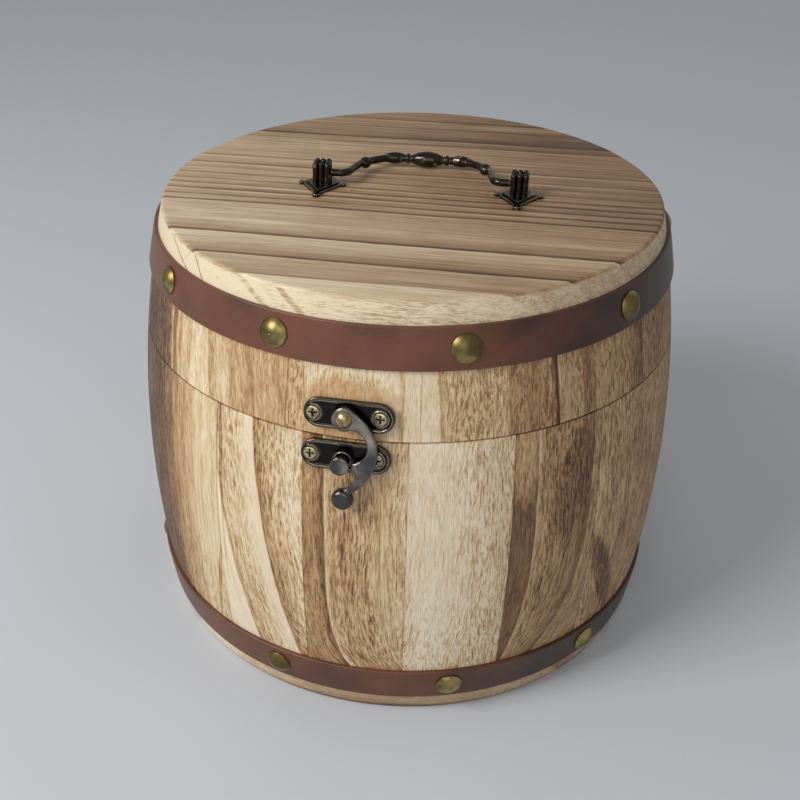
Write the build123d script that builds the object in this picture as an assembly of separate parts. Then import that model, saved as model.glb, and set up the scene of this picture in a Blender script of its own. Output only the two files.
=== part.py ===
"""Hinged-lid barrel box of glued staves, with two tacked straps, a swinging hook latch and a bail handle.

Millimetres, +Z up. The origin is the centre of the bottom face, and the latch faces -Y.
Azimuths are in degrees from the front, positive towards +X.
"""
from build123d import *
from math import asin, atan2, cos, degrees, radians, sin, sqrt
import os

# Barrel: one circular arc gives the outside of every stave and disc edge
barrel_height = 162.0
belly_radius = 100.0
belly_height = 68.0
rim_draw_in = 12.0
wall_thickness = 11.0
lid_depth = 44.5
seam_gap = 0.3
rim_round = 1.2

# Staves and discs
body_stave_count = 18
body_stave_angle = 10.5
lid_stave_count = 14
lid_stave_angle = 12.5
lid_disc_thickness = 16.0
bottom_disc_thickness = 14.0
lid_board_joint_shares = (-0.36, 0.30)
bottom_board_joint_shares = (0.08,)

# Straps and tacks
strap_width = 13.6
strap_thickness = 1.3
strap_edge_round = 0.5
strap_bedding = 0.1
strap_joint_opening = 0.8
upper_strap_drop = 14.2
lower_strap_height = 15.0
upper_tack_angles = (-48.9, -16.4, 20.6, 58.6, 104.0, 140.0, 174.0, 186.0, 225.0, 268.0)
lower_tack_angles = (-16.6, 20.4, 54.3, 104.0, 140.0, 174.0, 186.0, 225.0, 286.0)
tack_head_radius = 4.75
tack_head_height = 2.5
tack_head_brim = 0.4
tack_shank_radius = 0.9
tack_shank_length = 9.0
tack_point_length = 2.5

# Fits and cuts
running_clearance = 0.06
shank_clearance = 0.05
moving_gap = 0.3
cut_overrun = 3.0

# Latch and catch plates
plate_length = 28.8
plate_height = 10.0
plate_thickness = 1.3
plate_edge_round = 0.45
plate_rim_width = 1.0
plate_field_depth = 0.45
plate_collar_radius = 2.85
plate_bedding = 0.1
latch_offset = -1.0
latch_plate_rise = 8.5
catch_offset = -1.7
catch_plate_drop = 5.6
plate_screw_spacing = 21.2
plate_screw_offset = -0.7
plate_screw_shank_radius = 1.0
plate_screw_length = 9.0
plate_screw_head_radius = 1.95
plate_screw_head_height = 1.1
plate_screw_dome = 0.35
screw_point_share = 0.25
recess_width = 0.65
recess_length = 2.8
recess_depth = 0.9

# Hook, its rivet and the stud that it catches
pivot_offset = -1.0
pivot_rise = 8.1
boss_radius = 3.4
boss_height = 0.8
hook_drop = 26.5
hook_thickness = 1.8
hook_corner_round = 0.3
hook_edge_round = 0.28
hook_eye_radius = 3.9
hook_ball_radius = 3.5
hook_ball_thickness = 4.2
hook_ball_round = 1.6
rivet_radius = 1.5
rivet_head_radius = 2.7
rivet_head_height = 1.6
stud_offset = -1.7
stud_drop = 7.0
stud_neck_radius = 1.7
stud_tail_radius = 1.2
stud_head_radius = 3.1
stud_head_thickness = 1.7
stud_head_round = 0.5

# Back hinge
hinge_length = 30.0
leaf_height = 13.0
leaf_thickness = 1.2
leaf_corner_radius = 1.5
hinge_seat_margin = 0.2
knuckle_radius = 2.0
knuckle_count = 5
knuckle_gap = 0.2
hinge_pin_radius = 1.0
hinge_pin_head_radius = 1.7
hinge_pin_head_length = 0.9
hinge_screw_spacing = 19.0
hinge_screw_shank_radius = 0.9
hinge_screw_length = 6.0
hinge_screw_head_radius = 1.8
hinge_screw_head_height = 0.9

# Handle
handle_pitch = 70.0
handle_offset_x = 3.5
handle_offset_y = -1.0
handle_angle = 2.0
rosette_half_width = 7.6
rosette_half_length = 11.0
rosette_waist_share = 0.488
rosette_thickness = 0.9
rosette_pad_share = 0.76
rosette_pad_height = 0.5
rosette_bead_radius = 0.95
rosette_leaf_length = 3.2
rosette_leaf_width = 2.8
post_width = 6.2
post_height = 9.2
post_rib_count = 3
bail_pivot_height = 5.0
bail_reach = 24.0
bail_radius = 1.35
bail_pin_radius = 1.0
bail_pin_depth = 2.0
bail_knot_length = 4.6
bail_knot_radius = 2.1
bail_lobe_length = 9.0
bail_lobe_radius = 2.1
bail_collar_radius = 1.9
bail_collar_length = 1.6
bail_bead_length = 12.8
bail_bead_radius = 2.9
bail_shoulder_bend_radius = 3.0
bail_elbow_bend_radius = 14.0
bail_crown_bend_radius = 12.0
bail_corner_shares = ((0.375, 0.0), (0.332, 0.62), (0.205, 0.98))
bail_lobe_share = 0.175
swelling_end_share = 0.7
machine_screw_radius = 2.0
machine_screw_head_radius = 3.9
machine_screw_head_height = 2.4
machine_screw_head_round = 0.8
slot_width = 0.9
slot_depth = 1.0

# Hook outline, in shares of its drop from the pivot: back edge, mouth, tooth, notch and tail
hook_back_start_share = (0.105, 0.103)
hook_back_upper_share = (0.316, -0.105)
hook_back_widest_share = (0.408, -0.430)
hook_back_lower_share = (0.335, -0.690)
hook_back_end_share = (0.083, -0.966)
hook_tail_end_share = (0.016, -0.913)
hook_tail_bend_share = (0.128, -0.789)
hook_notch_end_share = (0.150, -0.679)
hook_notch_bend_share = (0.113, -0.612)
hook_tooth_share = (0.106, -0.557)
hook_mouth_lower_share = (0.255, -0.450)
hook_mouth_widest_share = (0.287, -0.330)
hook_mouth_upper_share = (0.225, -0.180)
hook_mouth_start_share = (0.085, -0.120)
hook_ball_share = (0.004, -1.041)

# Worked out from the sizes above
arc_rise = barrel_height - belly_height
stave_arc_radius = (arc_rise**2 + rim_draw_in**2) / (rim_draw_in + rim_draw_in)
stave_arc_centre = belly_radius - stave_arc_radius
rim_radius = belly_radius - rim_draw_in
upper_strap_height = barrel_height - upper_strap_drop
seam_height = barrel_height - lid_depth
lid_seam_height = seam_height + seam_gap
lid_disc_seat = barrel_height - lid_disc_thickness
handle_place = Pos(handle_offset_x, handle_offset_y, barrel_height) * Rot(0, 0, handle_angle)
quarter_turn = 90.0
half_turn = 180.0
full_turn = 360.0
bottom_align = (Align.CENTER, Align.CENTER, Align.MIN)
top_align = (Align.CENTER, Align.CENTER, Align.MAX)


def outer_radius(height):
    """Outside of the barrel at a height."""
    return stave_arc_centre + sqrt(stave_arc_radius**2 - (height - belly_height) ** 2)


def skin_point(height, proud):
    """Radius and height of the point that stands proud of the outside, square to it, at a height."""
    growth = (stave_arc_radius + proud) / stave_arc_radius
    lift = height - belly_height
    reach = outer_radius(height) - stave_arc_centre
    return (stave_arc_centre + reach * growth, belly_height + lift * growth)


def level_radius(height, proud):
    """Radius of the offset arc at a height."""
    return stave_arc_centre + sqrt((stave_arc_radius + proud) ** 2 - (height - belly_height) ** 2)


def lean(height):
    """Upward lean of the outward normal at a height, in degrees."""
    return degrees(asin((height - belly_height) / stave_arc_radius))


def skin_plane(azimuth, height, proud):
    """Plane tangent to the barrel: X runs round it to the right, Z points outwards."""
    radius, level = skin_point(height, proud)
    turn, tip = radians(azimuth), radians(lean(height))
    spot = (radius * sin(turn), -radius * cos(turn), level)
    out = (sin(turn) * cos(tip), -cos(turn) * cos(tip), sin(tip))
    return Plane(origin=spot, x_dir=(cos(turn), sin(turn), 0), z_dir=out)


def turned(profile, start, sweep):
    """Revolve an XZ profile about the barrel's axis from one azimuth through a sweep."""
    return Rot(0, 0, start - quarter_turn) * revolve(Plane.XZ * profile, Axis.Z, sweep)


def wall_profile(low, high):
    """Section of a stave: both faces are arcs about one centre."""
    middle = (low + high) / 2
    levels = (low, middle, high)
    inner_low, inner_middle, inner_high = (level_radius(level, -wall_thickness) for level in levels)
    edges = [
        Line((inner_low, low), (outer_radius(low), low)),
        ThreePointArc((outer_radius(low), low), (outer_radius(middle), middle), (outer_radius(high), high)),
        Line((outer_radius(high), high), (inner_high, high)),
        ThreePointArc((inner_high, high), (inner_middle, middle), (inner_low, low)),
    ]
    return make_face(edges)


def disc_profile(low, high, rounded):
    """Half section of a disc whose edge follows the barrel, rounded at the outer face."""
    middle = (low + high) / 2
    edges = [
        Line((0, low), (outer_radius(low), low)),
        ThreePointArc((outer_radius(low), low), (outer_radius(middle), middle), (outer_radius(high), high)),
        Line((outer_radius(high), high), (0, high)),
        Line((0, high), (0, low)),
    ]
    face = make_face(edges)
    corner = face.vertices().sort_by_distance((outer_radius(rounded), rounded))[0]
    return fillet(corner, rim_round)


def strap_profile(height):
    """Strap section, bedded on the barrel, with its outer corners rounded."""
    half = strap_width / 2
    low, high = height - half, height + half
    foot, top = strap_bedding, strap_bedding + strap_thickness
    edges = [
        Line(skin_point(low, foot), skin_point(low, top)),
        ThreePointArc(skin_point(low, top), skin_point(height, top), skin_point(high, top)),
        Line(skin_point(high, top), skin_point(high, foot)),
        ThreePointArc(skin_point(high, foot), skin_point(height, foot), skin_point(low, foot)),
    ]
    face = make_face(edges)
    corners = [face.vertices().sort_by_distance(skin_point(level, top))[0] for level in (low, high)]
    return fillet(corners, strap_edge_round)


def dome_arc(radius, base, rise):
    """Profile of a low round cap: an arc centred on the axis, from its brim to its crown."""
    ball_radius = (radius**2 + rise**2) / (rise + rise)
    half_angle = asin(radius / ball_radius) / 2
    middle = (ball_radius * sin(half_angle), base + rise - ball_radius * (1 - cos(half_angle)))
    return ThreePointArc((radius, base), middle, (0, base + rise))


def tack():
    """Domed tack, its head's flat underside on the plane and its nail below."""
    point_start = tack_point_length - tack_shank_length
    edges = [
        Polyline(
            (0, tack_head_height),
            (0, -tack_shank_length),
            (tack_shank_radius, point_start),
            (tack_shank_radius, 0),
            (tack_head_radius, 0),
            (tack_head_radius, tack_head_brim),
        ),
        dome_arc(tack_head_radius, tack_head_brim, tack_head_height - tack_head_brim),
    ]
    return revolve(Plane.XZ * make_face(edges), Axis.Z)


def tack_places(height, angles):
    """Planes of the tacks round one strap, at the angles where they were nailed by hand."""
    proud = strap_bedding + strap_thickness
    return [skin_plane(angle, height, proud) for angle in angles]


def tack_holes(height, angles):
    """Nail holes through a strap and into the wood."""
    length = tack_shank_length + cut_overrun
    hole = Cylinder(tack_shank_radius + shank_clearance, length, align=top_align)
    return [place * Pos(0, 0, cut_overrun) * hole for place in tack_places(height, angles)]


def straps():
    """The two leather straps, each butted at the back and pierced for its tacks."""
    opening = degrees(strap_joint_opening / rim_radius)
    made = {}
    bands = (
        ("upper_strap", upper_strap_height, upper_tack_angles),
        ("lower_strap", lower_strap_height, lower_tack_angles),
    )
    for name, height, angles in bands:
        band = turned(strap_profile(height), half_turn + opening / 2, full_turn - opening)
        made[name] = band - tack_holes(height, angles)
        made[name + "_tacks"] = Compound([place * tack() for place in tack_places(height, angles)])
    return made


def countersunk_screw(shank_radius, length, head_radius, head_height, dome):
    """Wood screw along -Z: a cone under a low dome with a cross recess, its brim level with the plane."""
    point = length * screw_point_share
    edges = [
        Polyline(
            (0, dome),
            (0, -length),
            (shank_radius, point - length),
            (shank_radius, -head_height),
            (head_radius, 0),
        ),
        dome_arc(head_radius, 0, dome),
    ]
    screw = revolve(Plane.XZ * make_face(edges), Axis.Z)
    slot = Box(recess_length, recess_width, recess_depth, align=top_align)
    return screw - Pos(0, 0, dome) * (slot + Rot(0, 0, quarter_turn) * slot)


def countersink(shank_radius, length, head_radius, head_height):
    """Clearance round a countersunk screw, for the plate and the wood together."""
    point = length * screw_point_share
    gap = shank_clearance
    points = [
        (0, cut_overrun),
        (0, -length - gap),
        (shank_radius + gap, point - length - gap),
        (shank_radius + gap, -head_height),
        (head_radius + gap, 0),
        (head_radius + gap, cut_overrun),
    ]
    return revolve(Plane.XZ * make_face(Polyline(*points, close=True)), Axis.Z)


latch_plane = skin_plane(0, seam_height, plate_bedding)
plate_top = plate_thickness
latch_spot = (latch_offset, latch_plate_rise)
catch_spot = (catch_offset, -catch_plate_drop)
pivot_place = (latch_offset + pivot_offset, pivot_rise)
stud_place = (latch_offset + stud_offset, -stud_drop)
hook_base = plate_top + boss_height + running_clearance
hook_top = hook_base + hook_thickness


def plate_screw_spots(spot):
    """Local places of a plate's two screws."""
    half = plate_screw_spacing / 2
    middle = spot[0] + plate_screw_offset
    return [Pos(middle + side * half, spot[1], plate_top) for side in (-1, 1)]


def plate_blank(spot, pad_place, pad_radius):
    """Round-ended stamped plate: its field is pressed in behind a rim, except round screws and one pad."""
    plate = extrude(Pos(*spot) * SlotOverall(plate_length, plate_height), plate_thickness)
    plate = fillet(plate.edges().group_by(Axis.Z)[-1], plate_edge_round)
    inset = plate_rim_width + plate_rim_width
    field = Pos(*spot) * SlotOverall(plate_length - inset, plate_height - inset)
    for place in plate_screw_spots(spot):
        field -= Pos(place.position.X, place.position.Y) * Circle(plate_collar_radius)
    field -= Pos(*pad_place) * Circle(pad_radius)
    return plate - Pos(0, 0, plate_thickness - plate_field_depth) * extrude(field, plate_field_depth)


def plate_screw_parts(plate_spot):
    """The plate's screws and the clearances they need, in the barrel's frame."""
    sizes = (plate_screw_shank_radius, plate_screw_length, plate_screw_head_radius, plate_screw_head_height)
    places = [latch_plane * spot for spot in plate_screw_spots(plate_spot)]
    screws = [place * countersunk_screw(*sizes, plate_screw_dome) for place in places]
    return screws, [place * countersink(*sizes) for place in places]


def latch_plate():
    """Lid plate with a round boss under the hook's eye and a bore for the rivet."""
    boss = Pos(*pivot_place, plate_top) * Cylinder(boss_radius, boss_height, align=bottom_align)
    bore = Pos(*pivot_place, 0) * Cylinder(rivet_radius + shank_clearance, cut_overrun + cut_overrun)
    return latch_plane * (plate_blank(latch_spot, pivot_place, boss_radius) + boss - bore)


def latch_rivet():
    """Rivet with a domed head that keeps the hook on its boss."""
    head_base = hook_top + running_clearance
    crown = head_base + rivet_head_height
    edges = [
        Polyline((0, crown), (0, 0), (rivet_radius, 0), (rivet_radius, head_base)),
        Line((rivet_radius, head_base), (rivet_head_radius, head_base)),
        dome_arc(rivet_head_radius, head_base, rivet_head_height),
    ]
    return latch_plane * Pos(*pivot_place, 0) * revolve(Plane.XZ * make_face(edges), Axis.Z)


def hook_point(share):
    """Point of the hook's outline from its share."""
    return (share[0] * hook_drop, share[1] * hook_drop)


def hook():
    """Swinging hook: eye, bowed arm, tooth, notch, tail and ball."""
    stops = [
        (hook_back_start_share, hook_back_upper_share, hook_back_widest_share),
        (hook_back_widest_share, hook_back_lower_share, hook_back_end_share),
        (hook_back_end_share, hook_tail_end_share),
        (hook_tail_end_share, hook_tail_bend_share, hook_notch_end_share),
        (hook_notch_end_share, hook_notch_bend_share, hook_tooth_share),
        (hook_tooth_share, hook_mouth_lower_share, hook_mouth_widest_share),
        (hook_mouth_widest_share, hook_mouth_upper_share, hook_mouth_start_share),
        (hook_mouth_start_share, hook_back_start_share),
    ]
    edges = []
    for stop in stops:
        points = [hook_point(share) for share in stop]
        edges.append(Line(*points) if len(points) == 2 else ThreePointArc(*points))
    outline = make_face(edges) + Circle(hook_eye_radius)
    arm = extrude(fillet(outline.vertices(), hook_corner_round), hook_thickness)
    arm = fillet(arm.edges().group_by(Axis.Z)[-1], hook_edge_round)
    ball = Cylinder(hook_ball_radius, hook_ball_thickness)
    ball = fillet(ball.edges().filter_by(GeomType.CIRCLE), hook_ball_round)
    tip = hook_point(hook_ball_share)
    body = arm + Pos(tip[0], tip[1], hook_thickness / 2) * ball
    bore = Cylinder(rivet_radius + running_clearance, cut_overrun + cut_overrun)
    return latch_plane * Pos(*pivot_place, hook_base) * (body - bore)


def catch_plate():
    """Body plate with a hole for the stud's tail."""
    hole = Pos(*stud_place, 0) * Cylinder(stud_tail_radius + shank_clearance, cut_overrun + cut_overrun)
    return latch_plane * (plate_blank(catch_spot, stud_place, plate_collar_radius) - hole)


def catch_stud():
    """Stud with a neck that stands the hook's depth and a flat round head."""
    head_base = hook_top + moving_gap
    head_top = head_base + stud_head_thickness
    points = [
        (0, 0),
        (stud_tail_radius, 0),
        (stud_tail_radius, plate_top),
        (stud_neck_radius, plate_top),
        (stud_neck_radius, head_base),
        (stud_head_radius, head_base),
        (stud_head_radius, head_top),
        (0, head_top),
    ]
    face = make_face(Polyline(*points, close=True))
    rim = face.vertices().sort_by_distance((stud_head_radius, head_top))[0]
    return latch_plane * Pos(*stud_place, 0) * revolve(Plane.XZ * fillet(rim, stud_head_round), Axis.Z)


# The hinge lies on a flat seat milled across the seam at the back
hinge_level = seam_height + seam_gap / 2
hinge_seat_border = running_clearance + hinge_pin_head_length + moving_gap
leaf_top = hinge_level + leaf_height
hinge_seat = sqrt(outer_radius(leaf_top) ** 2 - (hinge_length / 2) ** 2) - hinge_seat_margin
hinge_axis_y = hinge_seat + knuckle_radius + shank_clearance
hinge_plane = Plane(origin=(0, hinge_seat, hinge_level), x_dir=(-1, 0, 0), z_dir=(0, 1, 0))


def hinge_seat_cut():
    """Wood milled away to seat both leaves."""
    width = hinge_length + hinge_seat_border + hinge_seat_border
    height = leaf_height + leaf_height + hinge_seat_border + hinge_seat_border
    depth = belly_radius - hinge_seat + cut_overrun
    return hinge_plane * Box(width, height, depth, align=bottom_align)


def hinge_screw_spots(side):
    """Local places of a leaf's two screws; side is 1 for the lid and -1 for the body."""
    half = hinge_screw_spacing / 2
    level = side * (leaf_height + knuckle_radius) / 2
    return [Pos(end * half, level, leaf_thickness) for end in (-1, 1)]


def hinge_screw_parts(side):
    """A leaf's screws and the clearances they need, in the barrel's frame."""
    sizes = (hinge_screw_shank_radius, hinge_screw_length, hinge_screw_head_radius, hinge_screw_head_height)
    places = [hinge_plane * spot for spot in hinge_screw_spots(side)]
    screws = [place * countersunk_screw(*sizes, shank_clearance) for place in places]
    return screws, [place * countersink(*sizes) for place in places]


def hinge_leaf(side):
    """Leaf and its knuckles; the body leaf has the odd ones."""
    knuckle_length = hinge_length / knuckle_count
    axis_level = knuckle_radius + shank_clearance
    plate = Pos(0, side * leaf_height / 2) * Rectangle(hinge_length, leaf_height)
    far = plate.vertices().group_by(Axis.Y)[-1 if side > 0 else 0]
    leaf = extrude(fillet(far, leaf_corner_radius), leaf_thickness)
    first = 0 if side < 0 else 1
    for index in range(knuckle_count):
        centre = (index + index + 1 - knuckle_count) * knuckle_length / 2
        if index % 2 == first:
            barrel = Rot(0, quarter_turn, 0) * Cylinder(knuckle_radius, knuckle_length - knuckle_gap)
            leaf += Pos(centre, 0, axis_level) * barrel
        else:
            relief = knuckle_radius + moving_gap
            notch = Box(knuckle_length + knuckle_gap, relief + relief, relief + relief)
            leaf -= Pos(centre, 0, axis_level) * notch
    bore = Cylinder(hinge_pin_radius + running_clearance, hinge_length + cut_overrun)
    return hinge_plane * (leaf - Pos(0, 0, axis_level) * Rot(0, quarter_turn, 0) * bore)


def hinge_pin():
    """Pin with a low head at each end."""
    reach = hinge_length / 2 + running_clearance
    pin = Cylinder(hinge_pin_radius, reach + reach)
    head = Cylinder(hinge_pin_head_radius, hinge_pin_head_length, align=bottom_align)
    pin += Pos(0, 0, reach) * head + Pos(0, 0, -reach - hinge_pin_head_length) * head
    return Pos(0, hinge_axis_y, hinge_level) * Rot(0, quarter_turn, 0) * pin


post_foot = rosette_thickness + rosette_pad_height
machine_screw_bite = bail_pivot_height - bail_pin_radius - post_foot - moving_gap


def handle_spots():
    """Places of the two posts on the lid."""
    half = handle_pitch / 2
    return {"left": handle_place * Pos(-half, 0), "right": handle_place * Pos(half, 0)}


def diamond(share):
    """Diamond with drawn-in sides, at a share of the rosette's size."""
    wide, tall = rosette_half_width * share, rosette_half_length * share
    corners = [(wide, 0), (0, tall), (-wide, 0), (0, -tall), (wide, 0)]
    edges = []
    for start, end in zip(corners, corners[1:]):
        middle = ((start[0] + end[0]) * rosette_waist_share, (start[1] + end[1]) * rosette_waist_share)
        edges.append(ThreePointArc(start, middle, end))
    return make_face(edges)


def rosette():
    """Cast diamond base with a raised pad, side beads and leaf tips."""
    tip_height = rosette_thickness + rosette_pad_height / 2
    base = extrude(diamond(1), rosette_thickness)
    base += extrude(diamond(rosette_pad_share), post_foot)
    bead = Cylinder(rosette_bead_radius, tip_height, align=bottom_align)
    leaf = extrude(Ellipse(rosette_leaf_width / 2, rosette_leaf_length / 2), tip_height)
    for side in (-1, 1):
        base += Pos(side * rosette_half_width, 0) * bead
        base += Pos(0, side * rosette_half_length) * leaf
    hole = Cylinder(machine_screw_radius + shank_clearance, cut_overrun + cut_overrun)
    return base - hole


def post():
    """Square post of round-topped ribs about a core, bored below for its screw."""
    rib_radius = post_width / (post_rib_count + post_rib_count)
    rib_height = post_height - post_foot - rib_radius
    core = post_width - rib_radius - rib_radius
    shaft = Box(core, core, rib_height, align=bottom_align)
    rib = Cylinder(rib_radius, rib_height, align=bottom_align) + Pos(0, 0, rib_height) * Sphere(rib_radius)
    places = [rib_radius * (index + index + 1) - post_width / 2 for index in range(post_rib_count)]
    for x in places:
        for y in places:
            if core / 2 <= max(abs(x), abs(y)) + shank_clearance:
                shaft += Pos(x, y) * rib
    screw_hole = Cylinder(machine_screw_radius + shank_clearance, machine_screw_bite, align=bottom_align)
    return Pos(0, 0, post_foot) * (shaft - screw_hole)


def bail_socket():
    """Hole through both posts' inner faces for the bail's pins."""
    inner = handle_pitch / 2 - post_width / 2
    reach = inner + bail_pin_depth + moving_gap
    turned_pin = Rot(0, quarter_turn, 0) * Cylinder(bail_pin_radius + running_clearance, reach + reach)
    return handle_place * Pos(0, 0, bail_pivot_height) * turned_pin


def swelling(length, radius):
    """Barrel-shaped thickening of the bail's rod, along X."""
    half = length / 2
    end = bail_radius * swelling_end_share
    edges = [
        Polyline((-half, end), (-half, 0), (half, 0), (half, end)),
        ThreePointArc((half, end), (0, radius), (-half, end)),
    ]
    return revolve(make_face(edges), Axis.X)


def bail():
    """Bail lying back on the lid: a round rod with knots, lobes and a centre bead."""
    inner = handle_pitch / 2 - post_width / 2
    corners = [(handle_pitch * across, bail_reach * reach) for across, reach in bail_corner_shares]
    stub = (inner - moving_gap, 0)
    right = [stub] + corners
    route = [(-x, y) for x, y in right] + list(reversed(right))
    bends = (bail_shoulder_bend_radius, bail_elbow_bend_radius, bail_crown_bend_radius)
    path = FilletPolyline(*route, radius=list(bends) + list(reversed(bends)))
    start = Plane(origin=(-stub[0], 0, 0), x_dir=(0, 1, 0), z_dir=(1, 0, 0))
    rod = sweep(start * Circle(bail_radius), path)
    for side in (-1, 1):
        pin_length = moving_gap + bail_pin_depth
        pin = Rot(0, quarter_turn, 0) * Cylinder(bail_pin_radius, pin_length)
        rod += Pos(side * (stub[0] + pin_length / 2), 0) * pin
        elbow, crown = corners[1], corners[2]
        slope = degrees(atan2(crown[1] - elbow[1], elbow[0] - crown[0]))
        knot = Rot(0, 0, -side * (slope + quarter_turn) / 2) * swelling(bail_knot_length, bail_knot_radius)
        rod += Pos(side * (elbow[0] - bail_radius), elbow[1]) * knot
        lobe = Rot(0, 0, -side * slope / 4) * swelling(bail_lobe_length, bail_lobe_radius)
        rod += Pos(side * handle_pitch * bail_lobe_share, crown[1]) * lobe
        collar = swelling(bail_collar_length, bail_collar_radius)
        rod += Pos(side * (bail_bead_length + bail_collar_length) / 2, crown[1]) * collar
    rod += Pos(0, crown[1]) * swelling(bail_bead_length, bail_bead_radius)
    droop = degrees(asin((bail_pivot_height - bail_bead_radius - moving_gap) / corners[2][1]))
    return handle_place * Pos(0, 0, bail_pivot_height) * Rot(-droop, 0, 0) * rod


def machine_screw():
    """Slotted pan-head screw that holds a post from under the lid."""
    reach = lid_disc_thickness + post_foot + machine_screw_bite - moving_gap
    shank = Cylinder(machine_screw_radius, reach, align=bottom_align)
    head = Cylinder(machine_screw_head_radius, machine_screw_head_height, align=bottom_align)
    head = fillet(head.edges().group_by(Axis.Z)[0], machine_screw_head_round)
    across = machine_screw_head_radius + machine_screw_head_radius + cut_overrun
    slot = Box(across, slot_width, slot_depth, align=bottom_align)
    screw = shank + Pos(0, 0, -machine_screw_head_height) * (head - slot)
    return Pos(0, 0, -lid_disc_thickness) * screw


def machine_screw_holes():
    """Holes through the lid for the handle's screws."""
    length = lid_disc_thickness + cut_overrun + cut_overrun
    hole = Cylinder(machine_screw_radius + shank_clearance, length, align=top_align)
    return [spot * Pos(0, 0, cut_overrun) * hole for spot in handle_spots().values()]


def near(solid, tools):
    """The tools whose boxes meet the solid's box."""
    box = solid.bounding_box()
    met = []
    for tool in tools:
        other = tool.bounding_box()
        apart = (
            other.min.X > box.max.X or other.max.X < box.min.X
            or other.min.Y > box.max.Y or other.max.Y < box.min.Y
            or other.min.Z > box.max.Z or other.max.Z < box.min.Z
        )
        if not apart:
            met.append(tool)
    return met


def drilled(solid, tools):
    """A solid less the tools that reach it."""
    met = near(solid, tools)
    return solid - met if met else solid


def stave_ring(name, count, turn, low, high, tools):
    """Equal staves glued into a ring, each its own piece."""
    pitch = full_turn / count
    profile = wall_profile(low, high)
    made = {}
    for index in range(count):
        stave = turned(profile, turn + pitch * index, pitch)
        made[f"{name}_{index + 1:02d}"] = drilled(stave, tools)
    return made


def disc_boards(names, joint_shares, low, high, rounded, tools):
    """A disc of edge-glued boards that run along X, listed from front to back."""
    disc = turned(disc_profile(low, high, rounded), 0, full_turn)
    reach = belly_radius + cut_overrun
    joints = [-reach] + [share * rim_radius for share in joint_shares] + [reach]
    made = {}
    for name, front, back in zip(names, joints, joints[1:]):
        slab = Box(reach + reach, back - front, high - low + cut_overrun)
        made[name] = drilled(disc & Pos(0, (front + back) / 2, (low + high) / 2) * slab, tools)
    return made


def build():
    """All pieces by node name."""
    latch_screws, latch_holes = plate_screw_parts(latch_spot)
    catch_screws, catch_holes = plate_screw_parts(catch_spot)
    lid_hinge_screws, lid_hinge_holes = hinge_screw_parts(1)
    body_hinge_screws, body_hinge_holes = hinge_screw_parts(-1)
    upper_nails = tack_holes(upper_strap_height, upper_tack_angles)
    lower_nails = tack_holes(lower_strap_height, lower_tack_angles)
    handle_holes = machine_screw_holes()
    seat = [hinge_seat_cut()]
    lid_tools = upper_nails + latch_holes + lid_hinge_holes + seat + handle_holes
    body_tools = lower_nails + catch_holes + body_hinge_holes + seat

    made = stave_ring(
        "body_stave", body_stave_count, body_stave_angle, bottom_disc_thickness, seam_height, body_tools
    )
    made |= stave_ring(
        "lid_stave", lid_stave_count, lid_stave_angle, lid_seam_height, lid_disc_seat, lid_tools
    )
    made |= disc_boards(
        ("lid_board_front", "lid_board_middle", "lid_board_back"),
        lid_board_joint_shares, lid_disc_seat, barrel_height, barrel_height, lid_tools,
    )
    made |= disc_boards(
        ("bottom_board_front", "bottom_board_back"),
        bottom_board_joint_shares, 0, bottom_disc_thickness, 0, body_tools,
    )
    made |= straps()
    made["latch_plate"] = drilled(latch_plate(), latch_holes)
    made["latch_rivet"] = latch_rivet()
    made["latch_hook"] = hook()
    made["latch_plate_screws"] = Compound(latch_screws)
    made["catch_plate"] = drilled(catch_plate(), catch_holes)
    made["catch_stud"] = catch_stud()
    made["catch_plate_screws"] = Compound(catch_screws)
    made["hinge_lid_leaf"] = drilled(hinge_leaf(1), lid_hinge_holes)
    made["hinge_body_leaf"] = drilled(hinge_leaf(-1), body_hinge_holes)
    made["hinge_pin"] = hinge_pin()
    made["hinge_lid_screws"] = Compound(lid_hinge_screws)
    made["hinge_body_screws"] = Compound(body_hinge_screws)
    for side, spot in handle_spots().items():
        made[f"{side}_rosette"] = spot * rosette()
        made[f"{side}_post"] = spot * post() - bail_socket()
    made["bail"] = bail()
    made["handle_screws"] = Compound([spot * machine_screw() for spot in handle_spots().values()])
    return made


os.makedirs("parts", exist_ok=True)
pieces = build()
for node, piece in pieces.items():
    export_step(piece, f"parts/{node}.step")
print(len(pieces), "pieces; hinge axis y", hinge_axis_y, "z", hinge_level)
print("hook pivot", (latch_plane * Pos(*pivot_place, hook_base)).position, "normal", latch_plane.z_dir)
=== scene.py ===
import math

import bpy
import numpy as np
from mathutils import Matrix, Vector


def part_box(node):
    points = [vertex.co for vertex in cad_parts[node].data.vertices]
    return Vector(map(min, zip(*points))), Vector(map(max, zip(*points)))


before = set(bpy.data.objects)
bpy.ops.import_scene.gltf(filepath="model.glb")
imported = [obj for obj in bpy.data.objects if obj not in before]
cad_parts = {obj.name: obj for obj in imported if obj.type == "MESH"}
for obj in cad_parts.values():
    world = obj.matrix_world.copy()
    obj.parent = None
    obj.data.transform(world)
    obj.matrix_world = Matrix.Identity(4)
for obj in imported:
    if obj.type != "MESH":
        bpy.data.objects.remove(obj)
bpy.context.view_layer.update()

# The camera stands a little to the right of the latch, above the lid, and looks down at the keg.
# Its lens and place were worked out from the ellipses of the rim, the straps and the base.
camera_azimuth = math.radians(9.3)
camera_elevation = math.radians(38.672)
camera_distance = 0.50287
camera_pan = math.radians(3.712)
camera_tilt = math.radians(-5.575)
camera_roll = math.radians(2.014)
picture_side = 800
camera_lens_share = 1153.5 / picture_side
optical_axis_share = (328.37 / picture_side, 430.43 / picture_side)


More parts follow.
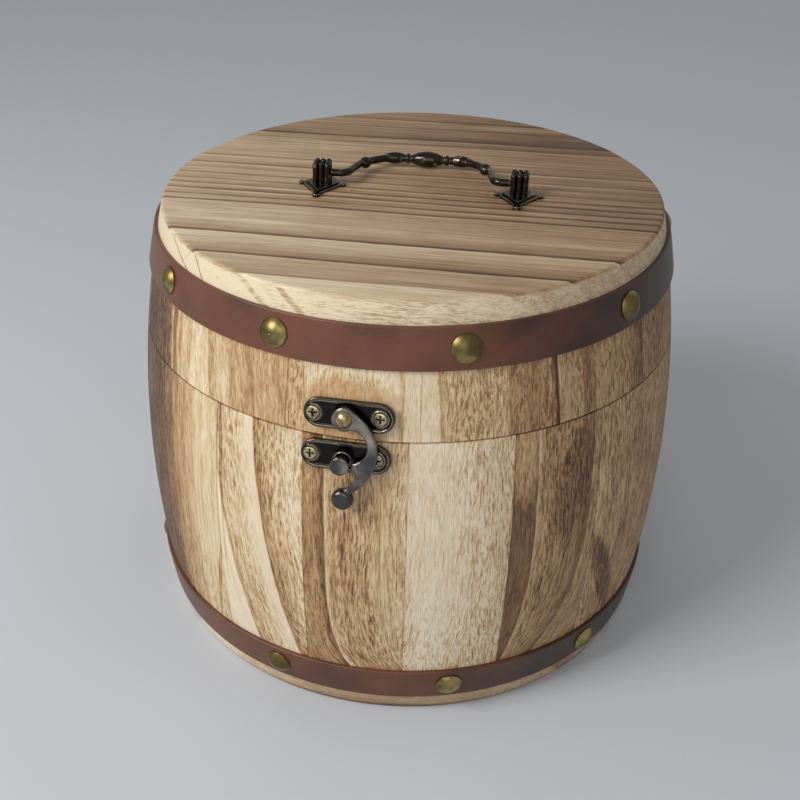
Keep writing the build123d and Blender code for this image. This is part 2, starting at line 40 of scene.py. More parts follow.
def turn_about(axis, angle):
    """Matrix that turns a picture's axes (right, down, forward) about one of them."""
    first, second = [i for i in range(3) if i != axis]
    turned = np.eye(3)
    turned[first, first] = turned[second, second] = math.cos(angle)
    sign = -1 if axis == 1 else 1
    turned[first, second], turned[second, first] = -sign * math.sin(angle), sign * math.sin(angle)
    return turned


def add_camera():
    """Camera whose picture axes are those of a look at the origin, panned, tilted and rolled."""
    out = np.array([
        math.sin(camera_azimuth) * math.cos(camera_elevation),
        -math.cos(camera_azimuth) * math.cos(camera_elevation),
        math.sin(camera_elevation),
    ])
    right = np.array([math.cos(camera_azimuth), math.sin(camera_azimuth), 0])
    down = np.cross(-out, right)
    look = turn_about(2, camera_roll) @ turn_about(0, camera_tilt) @ turn_about(1, camera_pan)
    right, down, forward = look @ np.stack([right, down, -out])
    data = bpy.data.cameras.new("camera")
    data.sensor_width = 36.0
    data.lens = data.sensor_width * camera_lens_share
    data.shift_x = 0.5 - optical_axis_share[0]
    data.shift_y = optical_axis_share[1] - 0.5
    camera = bpy.data.objects.new("camera", data)
    placed = np.eye(4)
    placed[:3, 0], placed[:3, 1], placed[:3, 2] = right, -down, -forward
    placed[:3, 3] = out * camera_distance
    camera.matrix_world = Matrix(placed)
    bpy.context.scene.collection.objects.link(camera)
    bpy.context.scene.camera = camera


add_camera()
bpy.context.scene.view_settings.view_transform = "Standard"

# The bottom disc: two boards glued edge to edge, turned to the line of the staves.
# The wood is light and coarse: layers of growth that shade from pale to brown and end in a sharp
# dark line, with short brown pores in the open ones. It was scorched and brushed before varnishing.
class Wire:
    """A socket of a material under way; sums and products of wires add their Math nodes."""

    def __init__(self, finish, socket):
        self.finish, self.socket = finish, socket

    def math(self, operation, *others):
        return self.finish.node("Math", {"operation": operation}, dict(enumerate((self, *others))))

    def __add__(self, other):
        return self.math("ADD", other)

    def __sub__(self, other):
        return self.math("SUBTRACT", other)

    def __rsub__(self, other):
        return self.finish.node("Math", {"operation": "SUBTRACT"}, {0: other, 1: self})

    def __mul__(self, other):
        return self.math("MULTIPLY", other)

    def rise(self, low, high):
        """Smooth step from 0 at low to 1 at high, or down where low is above high."""
        start, end = (0, 1) if low < high else (1, 0)
        low, high = min(low, high), max(low, high)
        sockets = {"Value": self, "From Min": low, "From Max": high, "To Min": start, "To Max": end}
        return self.finish.node("MapRange", {"interpolation_type": "SMOOTHSTEP"}, sockets)


class Finish:
    """A procedural material on the Principled shader, in the object's own coordinates in millimetres."""

    def __init__(self, name, **fixed):
        self.material = bpy.data.materials.new(name)
        self.material.use_nodes = True
        self.tree = self.material.node_tree
        self.shader = self.tree.nodes["Principled BSDF"]
        for socket, value in fixed.items():
            self.shader.inputs[socket.replace("_", " ")].default_value = value

    def node(self, kind, settings=(), sockets=(), out=0):
        """Adds a node: its settings first, then the values or wires of its sockets."""
        made = self.tree.nodes.new("ShaderNode" + kind)
        for setting, value in dict(settings).items():
            setattr(made, setting, value)
        for socket, value in dict(sockets).items():
            if isinstance(value, Wire):
                self.tree.links.new(value.socket, made.inputs[socket])
            else:
                made.inputs[socket].default_value = value
        return Wire(self, made.outputs[out])

    def place(self, turn=0.0):
        """Object coordinates in millimetres, turned back by an azimuth, as three wires."""
        where = self.node("TexCoord", out="Object")
        sockets = {"Vector": where, "Rotation": (0, 0, -turn), "Scale": (1000, 1000, 1000)}
        mapped = self.node("Mapping", {}, sockets)
        split = self.node("SeparateXYZ", {}, {0: mapped})
        return [Wire(self, split.socket.node.outputs[i]) for i in range(3)]

    def vector(self, x, y, z):
        return self.node("CombineXYZ", {}, {0: x, 1: y, 2: z})

    def noise(self, vector, scale, detail, roughness, seed):
        sockets = {"Vector": vector, "W": seed, "Scale": scale, "Detail": detail, "Roughness": roughness}
        return self.node("TexNoise", {"noise_dimensions": "4D"}, sockets)

    def ramp(self, factor, stops):
        """Colour ramp through stops of (place, colour)."""
        wire = self.node("ValToRGB", {}, {0: factor})
        elements = wire.socket.node.color_ramp.elements
        for spot, colour in stops[1:-1]:
            elements.new(spot).color = colour
        for element, (spot, colour) in zip(elements, stops):
            element.position, element.color = spot, colour
        return wire

    def profile(self, across, points):
        """Two wires, darkness and pores, read off a list of (place, darkness, pores)."""
        low, high = points[0][0], points[-1][0]
        stops = [((spot - low) / (high - low), (dark, pore, 0, 1)) for spot, dark, pore in points]
        share = (across - low) * (1 / (high - low))
        split = self.node("SeparateColor", {}, {0: self.ramp(share, stops)})
        return split, Wire(self, split.socket.node.outputs[1])

    def colour(self, value):
        self.tree.links.new(value.socket, self.shader.inputs["Base Color"])

    def gloss(self, value):
        self.tree.links.new(value.socket, self.shader.inputs["Roughness"])

    def relief(self, height, depth, strength, **under):
        """Bump of a depth in millimetres from a height of 0 to 1, over another normal if one is given."""
        sockets = {"Strength": strength, "Distance": depth / 1000, "Height": height, **under}
        bump = self.node("Bump", {}, sockets)
        self.tree.links.new(bump.socket, self.shader.inputs["Normal"])


def paint(*screen):
    """Linear colour of a screen colour's red, green and blue, given in 0 to 255."""
    parts = [part / 255 for part in screen]
    return (*(p / 12.92 if p <= 0.04 else ((p + 0.055) / 1.055) ** 2.4 for p in parts), 1.0)


def dress(node, finish):
    """Gives a CAD node its finish."""
    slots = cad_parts[node].material_slots
    for slot in slots:
        slot.material = finish.material
    if not slots:
        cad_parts[node].data.materials.append(finish.material)


stave_tones = [
    (0.0, paint(228, 216, 190)), (0.25, paint(208, 184, 146)), (0.5, paint(173, 137, 93)),
    (0.75, paint(127, 92, 59)), (1.0, paint(68, 46, 32)),
]
board_tones = [
    (0.0, paint(220, 204, 172)), (0.25, paint(184, 159, 127)), (0.5, paint(146, 115, 83)),
    (0.75, paint(103, 75, 51)), (1.0, paint(52, 36, 28)),
]
rust = paint(176, 124, 66)
chance = np.random.default_rng(4)

# The noises of the wood are drawn out along the grain. Each has its cells per millimetre across the
# grain and along it, its octaves, their roughness and what is added to the wood's seed.
grain_noises = {
    "slow": (0.03, 0.008, 2.0, 0.5, 0), "quick": (0.35, 0.05, 2.0, 0.6, 1),
    "strand": (0.7, 0.012, 3.0, 0.65, 2), "fibre": (2.2, 0.035, 2.0, 0.6, 3),
    "patch": (0.08, 0.03, 2.0, 0.5, 4), "twist": (0.12, 0.035, 1.0, 0.5, 5),
    "speck": (2.0, 0.27, 2.0, 0.6, 6), "dash": (1.6, 0.06, 3.0, 0.6, 7),
}
layer_ripple = 1.2
pore_wander = 6
fibre_dark = 0.4
patch_dark = 0.2
pore_dark = 0.3
dash_dark = 0.18
least_dash_dark = 0.08
pore_gap_pale = 0.05
pore_patchiness = 0.6
low_pore_levels = (75.0, 30.0)
foot_level, foot_reach = 20, 14
faded_dark, faded_share, faded_pores = 0.2, 0.85, 0.22
varnish_roughness, dark_roughness = 0.44, 0.12
porous_levels, pore_levels = (-0.1, 0.9), (0.46, 0.6)
dash_levels, ridge_levels = (0.48, 0.66), (0.5, 0.9)
pore_depth, ridge_share, relief_strength = 0.12, 0.5, 0.5
spot_core = 0.35


def inside(across, along, across_at, along_at, half_width, half_height, slope):
    """1 in the middle of a soft ellipse that leans by a slope, falling to 0 at its edge."""
    beside = (across - (along - along_at) * slope - across_at) * (1 / half_width)
    above = (along - along_at) * (1 / half_height)
    return (beside * beside + above * above).rise(1.0, spot_core)


def wood(finish, across, deep, along, figure, seed, lean=0.0, bow=0.0, middle=60.0, flare=0.0,
         fan=0.0, cut=0.15, wander=1.0, stripe=0.22, low_pores=0.0, tones=stave_tones, fade=None,
         spots=(), marks=(), stains=()):
    """Planed wood. A layer keeps one distance from a bent line down the board: across, less
    lean * h + bow * h^2 for the height h from the middle, less a flare that grows towards the foot as
    e^(-along / foot_reach). The figure gives darkness and pores at distances from that line. Spots are
    soft leaning ellipses of darkness, stains are the same in rust, and marks are wires of darkness.
    The layers grow faint where fade is 1."""

    def drawn_out(name, beside):
        tight, long, octaves, roughness, step = grain_noises[name]
        where = finish.vector(beside * tight, deep * tight, along * long)
        return finish.noise(where, 1.0, octaves, roughness, seed + step)

    height = along - middle
    sway = height * lean
    if bow:
        sway = sway + height * height * (bow / 1000)
    if flare:
        growth = ((foot_level - along) * (1 / foot_reach)).math("EXPONENT")
        sway = sway + growth * (across * fan + 1) * flare
    slow, quick = drawn_out("slow", across), drawn_out("quick", across)
    line = across - sway + deep * cut + (slow - 0.5) * (2 * wander)
    dark, pores = finish.profile(line + (quick - 0.5) * layer_ripple, figure)
    if fade:
        dark = dark - fade * (dark - faded_dark) * faded_share
        pores = pores + fade * faded_pores
    if low_pores:
        pores = pores + along.rise(*low_pore_levels) * low_pores
    strand, fibre, patch = (drawn_out(name, line) for name in ("strand", "fibre", "patch"))
    strayed = line + (drawn_out("twist", line) - 0.5) * pore_wander
    speck, dash = drawn_out("speck", strayed), drawn_out("dash", strayed)
    porous = (pores + (patch - 0.5) * pore_patchiness).rise(*porous_levels)
    open_pore = speck.rise(*pore_levels) * porous
    amount = dark + (strand - 0.5) * stripe * 2 + (fibre - 0.5) * fibre_dark + (patch - 0.5) * patch_dark
    amount = amount + dash.rise(*dash_levels) * (porous * dash_dark + least_dash_dark)
    amount = amount - porous * pore_gap_pale
    for *ellipse, depth in spots:
        amount = amount + inside(across, along, *ellipse) * depth
    for mark in marks:
        amount = amount + mark
    amount = amount + open_pore * pore_dark
    colour = finish.ramp(amount, tones)
    for *ellipse, depth in stains:
        share = inside(across, along, *ellipse) * (strand + 0.5) * depth
        colour = finish.node("Mix", {"data_type": "RGBA"}, {0: share, 6: colour, 7: rust}, out=2)
    finish.colour(colour)
    finish.gloss(amount * dark_roughness + varnish_roughness)
    ridges = dark.rise(*ridge_levels) * ridge_share
    finish.relief(1 - open_pore - ridges, pore_depth, relief_strength)


drawn_dark, drawn_pale, drawn_pores = (0.3, 0.75), (0.03, 0.2), (0.1, 0.9)
width_spread = (0.5, 1.5)
most_stops = 30


def drawn_figure(half, spacing):
    """A figure drawn by chance: each layer is darkest at its edge, pales quickly and then slowly."""
    figure, spot = [], -half
    while spot < half:
        width = spacing * chance.uniform(*width_spread)
        pale, dark, pores = (chance.uniform(*r) for r in (drawn_pale, drawn_dark, drawn_pores))
        figure += [(spot, dark, pores), (spot + 0.25 * width, dark * 0.55, pores)]
        figure += [(spot + 0.95 * width, pale, 0.15)]
        spot += width
    return figure[:most_stops] + [(half + spacing, 0.2, 0.4)]


rim_top, rim_foot = (-0.4, -1.4), (-13.4, -11.4)
rim_pale = 0.2
dark_per_mm = 0.0018
streak_core = 0.3


def board(node, figure, sanded=1.0, streaks=(), **grain):
    """A board that runs along X, its layers counted across Y, darker to the right. Its turned rim was
    sanded paler, and slanted streaks cross it."""
    finish = Finish(node)
    x, y, z = finish.place()
    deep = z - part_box(node)[1][2] * 1000
    rim = deep.rise(*rim_top) * deep.rise(*rim_foot) * sanded
    marks = [rim * -rim_pale, x * dark_per_mm]
    for x_at, slope, half_width, depth in streaks:
        beside = (x - deep * slope - x_at).math("ABSOLUTE")
        marks.append(beside.rise(half_width, half_width * streak_core) * rim * depth)
    wood(finish, y, deep, x, figure, middle=0.0, tones=board_tones, marks=marks, fade=rim, **grain)
    dress(node, finish)


grain_lean = 0.02
bottom_half, bottom_spacing = 105, 22
for node, seed in (("bottom_board_front", 3.0), ("bottom_board_back", 4.0)):
    figure = drawn_figure(bottom_half, bottom_spacing)
    board(node, figure, sanded=0.6, cut=0.9, lean=grain_lean, seed=seed)

# The body: eighteen staves glued into a ring and turned to a belly on the lathe, so the layers run
# out in curves where the turning cuts through them. Each stave is its own timber.
# Each ring has its number of staves and the degrees that its first joint stands right of the front.
barrel = {"body_stave": (18, 10.5), "lid_stave": (14, 12.5)}
belly_radius = 100
seam_level = 117.5
glue_line_width = 0.5
glue_line_dark, seam_shade_dark = 0.2, 0.3


def stave(kind, number, figure, **grain):
    """A stave that stands upright, its figure worked out in its own place in the ring."""
    count, first = barrel[kind]
    pitch = 360 / count
    turn = math.radians(first + pitch * (number - 0.5))
    node = f"{kind}_{number:02d}"
    finish = Finish(node)
    x, y, z = finish.place(turn)
    away = y * -math.tan(math.radians(pitch / 2)) - x.math("ABSOLUTE")
    # Painted shade: a dark band along the seam between lid and body, where shade falls in the gap.
    near_seam = (z - seam_level).math("ABSOLUTE")
    edges = ((away, glue_line_dark), (near_seam, seam_shade_dark))
    marks = [edge.rise(glue_line_width, 0.0) * depth for edge, depth in edges]
    wood(finish, x, y + belly_radius, z, figure, marks=marks, seed=chance.uniform(0, 90), **grain)
    dress(node, finish)


body_figures = {
    1: ([(-17.4, 0.1, 0.4), (-13, 0.06, 0.3), (-8, 0.02, 0.25), (-2, 0.04, 0.35), (3, 0.09, 0.6),
         (9, 0.14, 0.8), (15, 0.18, 0.9), (17.4, 0.22, 0.9)], dict(low_pores=0.5, stripe=0.12)),
    2: ([(-19, 0.78, 0.4), (-11, 0.72, 0.4), (-8.6, 0.8, 0.3), (-8.2, 0.3, 0.2), (-7.4, 0.44, 0.6),
         (-3, 0.5, 0.8), (3, 0.52, 0.8), (8, 0.58, 0.7), (12.5, 0.68, 0.6), (14.2, 0.74, 0.4),
         (14.7, 0.48, 0.5), (22, 0.46, 0.8)],
        dict(flare=-23.0, fan=0.046, stripe=0.25,
             spots=[(-13, 108, 6, 20, 0.0, -0.3), (5, 92, 9, 24, 0.15, 0.15)])),
    3: ([(-17.4, 0.36, 0.8), (-10, 0.45, 0.8), (0, 0.49, 0.7), (8, 0.49, 0.6), (17.4, 0.46, 0.6)],
        dict(spots=[(-7, 45, 6, 27, -0.42, 0.3)], stripe=0.25)),
    4: ([(-17.4, 0.46, 0.6), (-6, 0.5, 0.6), (6, 0.56, 0.6), (17.4, 0.6, 0.6)], dict(stripe=0.3)),
    # Staves 14 to 16 stand at the keg's left side and are drawn darkest towards the left: painted shade
    # along that side, over their own dark grain.
    14: ([(-17.4, 0.95, 0.5), (4, 0.9, 0.5), (17.4, 0.66, 0.5)], dict(stripe=0.3)),
    15: ([(-17.4, 0.9, 0.5), (0, 0.84, 0.5), (12, 0.84, 0.4), (17.4, 0.78, 0.4)], dict(stripe=0.35)),
    16: ([(-17.4, 0.8, 0.4), (-13, 0.72, 0.4), (-10, 0.66, 0.4), (-8.6, 0.5, 0.3), (-6, 0.54, 0.3),
          (-4.8, 0.4, 0.25), (-2, 0.44, 0.3), (1.6, 0.34, 0.2), (4, 0.38, 0.2), (6, 0.2, 0.2),
          (9, 0.26, 0.2), (10.9, 0.2, 0.2), (17.4, 0.24, 0.2)],
         dict(low_pores=0.3, stripe=0.3, spots=[(14, 40, 1.0, 26, 0.163, 0.3)])),
    17: ([(-26, 0.05, 0.05), (-12.2, 0.06, 0.1), (-11.7, 0.42, 0.6), (-10.2, 0.28, 0.8),
          (-5, 0.2, 0.85), (0, 0.15, 0.5), (2.5, 0.1, 0.15), (5.0, 0.1, 0.1), (5.6, 0.62, 0.5),
          (7.6, 0.42, 0.95), (12, 0.26, 0.95), (18, 0.13, 0.9), (25, 0.12, 0.9)],
         dict(lean=-0.185, bow=1.37, stripe=0.12, spots=[(-15.3, 90, 0.9, 50, 0.0, 0.22)])),
    18: ([(-19, 0.5, 0.4), (-14.5, 0.5, 0.4), (-11.8, 0.58, 0.5), (-10.4, 0.74, 0.4), (-9.8, 0.7, 0.3),
          (-9.4, 0.16, 0.1), (-8.6, 0.34, 0.4), (-4, 0.43, 0.8), (2, 0.4, 0.85), (7, 0.36, 0.6),
          (8.6, 0.34, 0.4), (8.9, 0.54, 0.3), (9.4, 0.26, 0.3), (13, 0.3, 0.6), (18, 0.22, 0.6)],
         dict(flare=10.0, stripe=0.3, low_pores=0.3, wander=0.5)),
}
figure_half, most_lean, most_bow = 26, 0.15, 1.5
body_spacing, lid_spacing = 13, 9
for number in range(1, barrel["body_stave"][0] + 1):
    drawn = drawn_figure(figure_half, body_spacing), dict(
        lean=chance.uniform(-most_lean, most_lean), bow=chance.uniform(-most_bow, most_bow))
    figure, grain = body_figures.get(number, drawn)
    stave("body_stave", number, figure, **grain)

# The lid's ring: fourteen shorter staves, made as the body's are and parted from them at the seam.
# The iron of the latch has stained the one behind it.
lid_figures = {
    1: ([(-21, 0.12, 0.2), (-15, 0.14, 0.2), (-14.5, 0.42, 0.2), (-13.5, 0.3, 0.5), (-5, 0.34, 0.8),
         (5, 0.32, 0.8), (6.9, 0.36, 0.6), (7.4, 0.6, 0.5), (12, 0.48, 0.7), (15, 0.6, 0.5),
         (20.7, 0.5, 0.6)], dict()),
    2: ([(-20.7, 0.5, 0.5), (-19.2, 0.62, 0.5), (-18.8, 0.98, 0.2), (-17.9, 0.98, 0.2),
         (-17.5, 0.43, 0.4), (-9, 0.48, 0.6), (-8, 0.66, 0.5), (-3.6, 0.62, 0.5), (-3, 0.42, 0.5),
         (12, 0.48, 0.6), (16, 0.62, 0.6), (20.7, 0.7, 0.5)], dict(wander=0.4)),
    3: ([(-20, 0.6, 0.6), (0, 0.58, 0.6), (20, 0.6, 0.6)], dict()),
    4: ([(-20, 0.6, 0.6), (20, 0.55, 0.6)], dict()),
    # Staves 11 and 12 stand at the keg's left side and are drawn darkest towards the left: painted shade
    # along that side, over their own dark grain.
    11: ([(-20, 0.95, 0.7), (4, 0.9, 0.8), (20, 0.7, 0.8)], dict(stripe=0.3)),
    12: ([(-20, 0.95, 0.6), (0, 0.88, 0.6), (6, 0.78, 0.5), (8, 0.64, 0.4), (9.3, 0.34, 0.3),
          (10.5, 0.66, 0.3), (12, 0.72, 0.3), (13.5, 0.28, 0.2), (15.5, 0.56, 0.2),
          (16.5, 0.24, 0.2), (20, 0.34, 0.3)],
         dict(lean=-0.1, middle=135.0, stripe=0.4)),
    13: ([(-20, 0.45, 0.3), (-18.6, 0.55, 0.3), (-18, 0.14, 0.2), (-10, 0.17, 0.25), (-6.3, 0.2, 0.2),
          (-5.8, 0.5, 0.25), (-3, 0.34, 0.3), (2, 0.26, 0.2), (4.5, 0.46, 0.3), (8, 0.38, 0.3),
          (12, 0.46, 0.3), (16, 0.4, 0.3), (20, 0.44, 0.3)], dict(lean=-0.06, stripe=0.4)),
    14: ([(-21, 0.36, 0.7), (-15, 0.36, 0.7), (-13.5, 0.18, 0.6), (0, 0.12, 0.6), (10, 0.1, 0.5),
          (15, 0.14, 0.3), (16.8, 0.36, 0.3), (17.5, 0.12, 0.2), (21, 0.1, 0.2)],
         dict(stripe=0.12, spots=[(-1, 134, 14, 6, 0.0, 0.1), (-1, 118, 14, 3, 0.0, 0.15)],
              stains=[(-1, 130, 18, 8, 0.0, 0.5), (-1, 119, 17, 4, 0.0, 0.55)])),
}
for number in range(1, barrel["lid_stave"][0] + 1):
    drawn = drawn_figure(figure_half, lid_spacing), dict(lean=chance.uniform(-most_lean, most_lean))
    figure, grain = lid_figures.get(number, drawn)
    stave("lid_stave", number, figure, **grain)

# The lid's disc: three boards glued edge to edge, let into the ring flush with its top. Their layers
# were scorched darkest at the back, and three broad ones run out at the front.
front_figure = [
    (-90, 0.12, 0.25), (-79.5, 0.12, 0.1), (-78.3, 0.14, 0), (-77.8, 0.45, 0), (-74, 0.32, 0),
    (-68, 0.3, 0), (-65.5, 0.2, 0), (-65, 0.9, 0), (-63.4, 0.5, 0), (-58, 0.32, 0), (-52, 0.2, 0),
    (-48.9, 0.14, 0), (-48.4, 0.88, 0), (-46.5, 0.45, 0), (-42, 0.3, 0), (-38, 0.24, 0),
    (-35, 0.32, 0), (-30, 0.28, 0),
]
middle_figure = [(-32, 0.32, 0)]
middle_lines = [
    (-22.8, 0.85), (-17.8, 0.78), (-12.5, 0.8), (-7.6, 0.8), (-2.8, 0.7), (2.9, 0.66), (8.5, 0.6),
    (14.1, 0.7), (22.9, 0.66),
]
line_start, line_end, dark_before, dark_after = 0.5, 1.5, 0.34, 0.47
for line_at, depth in middle_lines:
    middle_figure += [
        (line_at - line_start, dark_before, 0), (line_at, depth, 0), (line_at + line_end, dark_after, 0),
    ]
middle_figure += [(27, 0.4, 0)]
back_figure = [
    (26, 0.42, 0), (36, 0.4, 0), (44, 0.42, 0), (46.5, 0.44, 0), (47, 0.72, 0), (49, 0.5, 0), (52.5, 0.5, 0),
    (53, 0.88, 0), (56, 0.66, 0), (60, 0.6, 0), (65.5, 0.52, 0), (66, 0.78, 0), (68, 0.52, 0),
    (74.5, 0.46, 0), (75, 0.82, 0), (78, 0.52, 0), (83, 0.56, 0), (90, 0.5, 0),
]
rim_streaks = [
    (-70.8, -1.25, 0.7, 0.45), (-58.5, -0.56, 0.6, 0.4),
    (-40.3, -1.35, 2.4, 0.22), (-26.4, -1.22, 2.2, 0.25),
]
lid_boards = [
    ("lid_board_front", front_figure, dict(stripe=0.3, seed=71.0, streaks=rim_streaks)),
    ("lid_board_middle", middle_figure, dict(stripe=0.42, seed=72.0)),
    ("lid_board_back", back_figure, dict(stripe=0.5, seed=73.0)),
]
for node, figure, grain in lid_boards:
    board(node, figure, lean=grain_lean, cut=0.5, wander=1.6, **grain)

# The straps: two bands of reddish brown leather, split hide with a smooth waxed face, butted at the
# back and nailed on with domed tacks.
strap_colour = paint(98, 56, 37)
strap_dark = paint(56, 33, 24)
strap_light = paint(114, 70, 50)
cloud_cells, hide_cells, fine_cells = 0.05, 1.7, 2.5
shaded_side_span, side_shade_depth = (15, 95), 0.3
hide_depth = 0.05


def leather(name):
    """Waxed leather: a fine grain of small cells under soft cloudy patches, with painted shade to the right.
    """
    finish = Finish(name, Specular_IOR_Level=0.5, Coat_Weight=0.08, Coat_Roughness=0.35)
    x, y, z = finish.place()
    where = finish.vector(x, y, z)
    cloud = finish.noise(where, cloud_cells, 3.0, 0.6, 1.0)
    sockets = {"Vector": where, "Scale": hide_cells}
    cells = finish.node("TexVoronoi", {"feature": "DISTANCE_TO_EDGE"}, sockets)
    fine = finish.noise(where, fine_cells, 3.0, 0.6, 2.0)
    # Painted shade: the leather is darkened towards the right side of the keg.
    patches_and_painted_light = cloud * 0.7 + fine * 0.3 - x.rise(*shaded_side_span) * side_shade_depth
    finish.colour(finish.ramp(patches_and_painted_light, [(0.25, strap_dark), (0.5, strap_colour), (0.8, strap_light)]))
    finish.gloss(fine * 0.2 + 0.32)
    finish.relief(cells.rise(0.0, 0.25) * 0.6 + fine * 0.4, hide_depth, 0.35)
    return finish


strap_leather = leather("strap_leather")
for node in ("upper_strap", "lower_strap"):
    dress(node, strap_leather)

# The tacks: domed heads of pressed brass, darkened in a bath and rubbed bright on the crown.
brass_bright = paint(176, 158, 108)
brass_dark = paint(112, 98, 60)
skin_level, bare_level = 0.62, 0.85
fine_share, fine_depth = 6, 0.02
edge_cosines, edge_patches = (0.99, 0.9), 0.8
hollow_reach, hollow_levels, hollow_shade_tone = 0.0012, (0.95, 0.45), 0.25
worn_gloss, hollow_dull = 0.08, 0.2


def metal(name, dark, bright, share, roughness, seed, speckle=0.15, scale=0.35, edge_wear_and_highlight=0.0, edge=0.0005,
          softness=0.0002):
    """Plated metal: a dark skin rubbed through to a brighter one in cloudy patches, and along its edges,
    where the normal averaged over a small radius leaves the surface's own; the bright edges are partly
    real wear and partly a painted highlight. Hollows that the metal's own ambient occlusion finds are
    painted darker as shade. Softness is the radius by which its edges look rounded off."""
    finish = Finish(name, Metallic=1.0)
    x, y, z = finish.place()
    where = finish.vector(x, y, z)
    cloud = finish.noise(where, scale, 3.0, 0.55, seed)
    fine = finish.noise(where, scale * fine_share, 2.0, 0.6, seed + 1)
    patches_and_painted_light = (cloud + (fine - 0.5) * speckle).rise(skin_level - share, bare_level - share)
    # The edges are brightened all round: partly real wear, partly a painted highlight.
    if edge_wear_and_highlight:
        rounded = finish.node("Bevel", {"samples": 6}, {"Radius": edge})
        own = finish.node("NewGeometry", out="Normal")
        along = finish.node("VectorMath", {"operation": "DOT_PRODUCT"}, {0: rounded, 1: own}, out="Value")
        worn_and_highlit_edges = along.rise(*edge_cosines) * ((fine - 0.5) * edge_patches + edge_wear_and_highlight)
        patches_and_painted_light = patches_and_painted_light.math("MAXIMUM", worn_and_highlit_edges)
    # Painted shade: hollows that the metal's own ambient occlusion finds are darkened towards near black.
    local = {"samples": 6, "only_local": True}
    open_sky = finish.node("AmbientOcclusion", local, {"Distance": hollow_reach}, out="AO")
    hollow_shade = open_sky.rise(*hollow_levels)
    shade_black = tuple(hollow_shade_tone * part for part in dark[:3]) + (1.0,)
    lit = (patches_and_painted_light * 0.5 + 0.5) * (1 - hollow_shade)
    finish.colour(finish.ramp(lit, [(0.0, shade_black), (0.5, dark), (1.0, bright)]))
    finish.gloss(patches_and_painted_light * -worn_gloss + hollow_shade * hollow_dull + roughness)
    soft_edges = finish.node("Bevel", {"samples": 8}, {"Radius": softness})
    finish.relief(fine, fine_depth, 0.25, Normal=soft_edges)
    return finish


tack_brass = metal("tack_brass", brass_dark, brass_bright, share=0.22, roughness=0.36, seed=5.0,
                   speckle=0.05, scale=0.12)
for node in ("upper_strap_tacks", "lower_strap_tacks"):
    dress(node, tack_brass)

# The latch: a stamped lid plate with the hook riveted to it, and a body plate with the stud that the
# hook catches, all dipped dark and rubbed at the edges. Their bright edges are also a painted highlight.
plate_bronze = metal("plate_bronze", paint(42, 37, 38), paint(206, 190, 162), share=0.0, roughness=0.24,
                     seed=8.0, edge_wear_and_highlight=0.95, edge=0.0009, softness=0.0005)
for node in ("latch_plate", "catch_plate"):
    dress(node, plate_bronze)
gunmetal = metal("gunmetal", paint(84, 80, 79), paint(176, 166, 154), share=0.1, roughness=0.22,
                 seed=8.5, speckle=0.02, scale=0.06, edge_wear_and_highlight=0.55, edge=0.0008, softness=0.0014)
for node in ("latch_hook", "catch_stud"):
    dress(node, gunmetal)
rivet_brass = metal("rivet_brass", paint(122, 106, 76), paint(184, 164, 118), share=0.3, roughness=0.33,
                    seed=9.0)
dress("latch_rivet", rivet_brass)

# The screws: small cross-recessed wood screws, yellow plated.
screw_steel = metal("screw_steel", paint(124, 110, 82), paint(198, 184, 148), share=0.3, roughness=0.34,
                    seed=10.0)
for node in ("latch_plate_screws", "catch_plate_screws", "hinge_lid_screws", "hinge_body_screws"):
    dress(node, screw_steel)

# The hinge: a brass butt hinge let in flat across the seam at the back, with a loose pin.
hinge_brass = metal("hinge_brass", paint(116, 98, 60), paint(164, 142, 90), share=0.2, roughness=0.36,
                    seed=12.0, speckle=0.05, scale=0.08)
for node in ("hinge_lid_leaf", "hinge_body_leaf", "hinge_pin"):
    dress(node, hinge_brass)

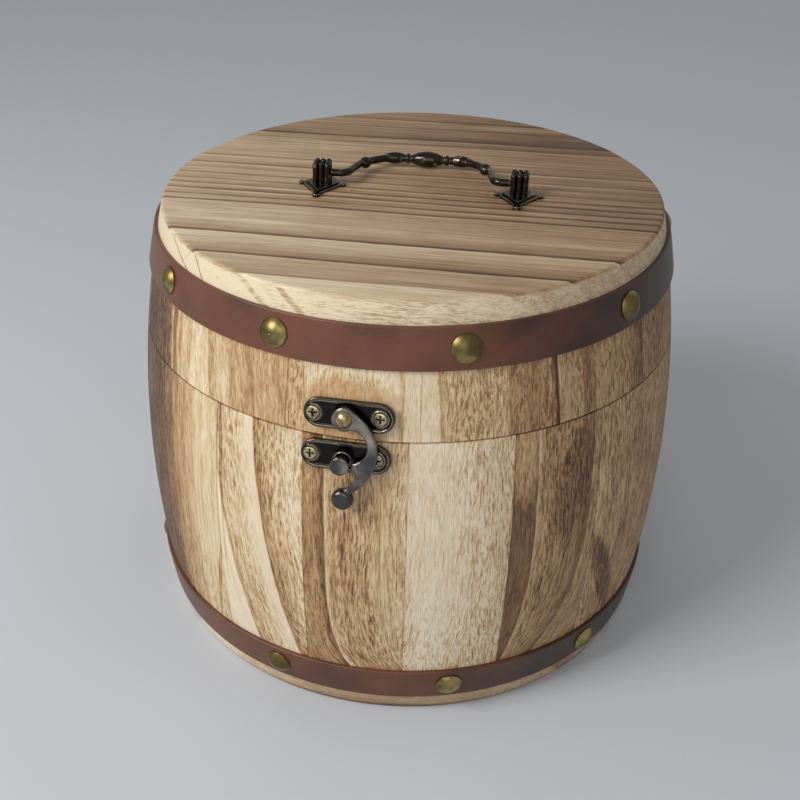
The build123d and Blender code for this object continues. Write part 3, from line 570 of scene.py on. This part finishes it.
# The handle: a cast drop handle on two ribbed posts, each on a diamond rosette, held by a machine
# screw from under the lid. The casting is dark bronze with gold left on its high points; its bright
# edges are also a painted highlight.
handle_bronze = metal("handle_bronze", paint(60, 54, 50), paint(206, 190, 156), share=0.06,
                      roughness=0.15, seed=14.0, edge_wear_and_highlight=0.6, edge=0.0006, softness=0.0003)
for node in ("left_rosette", "right_rosette", "left_post", "right_post", "bail"):
    dress(node, handle_bronze)
machine_screw_steel = metal("machine_screw_steel", paint(150, 150, 148), paint(200, 200, 196),
                            share=0.3, roughness=0.3, seed=15.0)
dress("handle_screws", machine_screw_steel)

# The studio: a pale floor, a soft key from the upper left, a weak fill from the front and an even sky.
floor_colour = paint(194, 198, 204)
half_floor = 4.0
sky_strength = 0.4


def add_floor():
    """Plain pale plane under the keg."""
    sides = ((-1, -1), (1, -1), (1, 1), (-1, 1))
    corners = [(across * half_floor, along * half_floor, 0) for across, along in sides]
    mesh = bpy.data.meshes.new("floor")
    mesh.from_pydata(corners, [], [(0, 1, 2, 3)])
    floor = bpy.data.objects.new("floor", mesh)
    bpy.context.scene.collection.objects.link(floor)
    finish = Finish("floor", Roughness=0.9)
    finish.shader.inputs["Base Color"].default_value = floor_colour
    mesh.materials.append(finish.material)


def add_lamp(name, place, aim, size, power, colour=(1, 1, 1)):
    """Square soft lamp at a place, aimed at a point."""
    data = bpy.data.lights.new(name, "AREA")
    data.size, data.energy, data.color = size, power, colour
    lamp = bpy.data.objects.new(name, data)
    back = np.array(place) - np.array(aim)
    back = back / np.linalg.norm(back)
    right = np.cross([0, 0, 1], back)
    right = right / np.linalg.norm(right)
    placed = np.eye(4)
    placed[:3, 0], placed[:3, 1], placed[:3, 2] = right, np.cross(back, right), back
    placed[:3, 3] = place
    lamp.matrix_world = Matrix(placed)
    bpy.context.scene.collection.objects.link(lamp)


def add_world():
    """Soft sky: even white light from all sides."""
    world = bpy.data.worlds.new("studio")
    world.use_nodes = True
    bpy.context.scene.world = world
    tree = world.node_tree
    tree.nodes.clear()
    out = tree.nodes.new("ShaderNodeOutputWorld")
    soft = tree.nodes.new("ShaderNodeBackground")
    soft.inputs["Color"].default_value = (1, 1, 1, 1)
    soft.inputs["Strength"].default_value = sky_strength
    tree.links.new(soft.outputs[0], out.inputs[0])


add_floor()
middle = (0, 0, 0.09)
add_lamp("key", (-0.66, -0.62, 0.78), middle, size=0.5, power=9.0, colour=(1.0, 0.99, 0.97))
add_lamp("fill", (0.1, -1.3, 0.7), middle, size=0.9, power=3.0)
add_world()
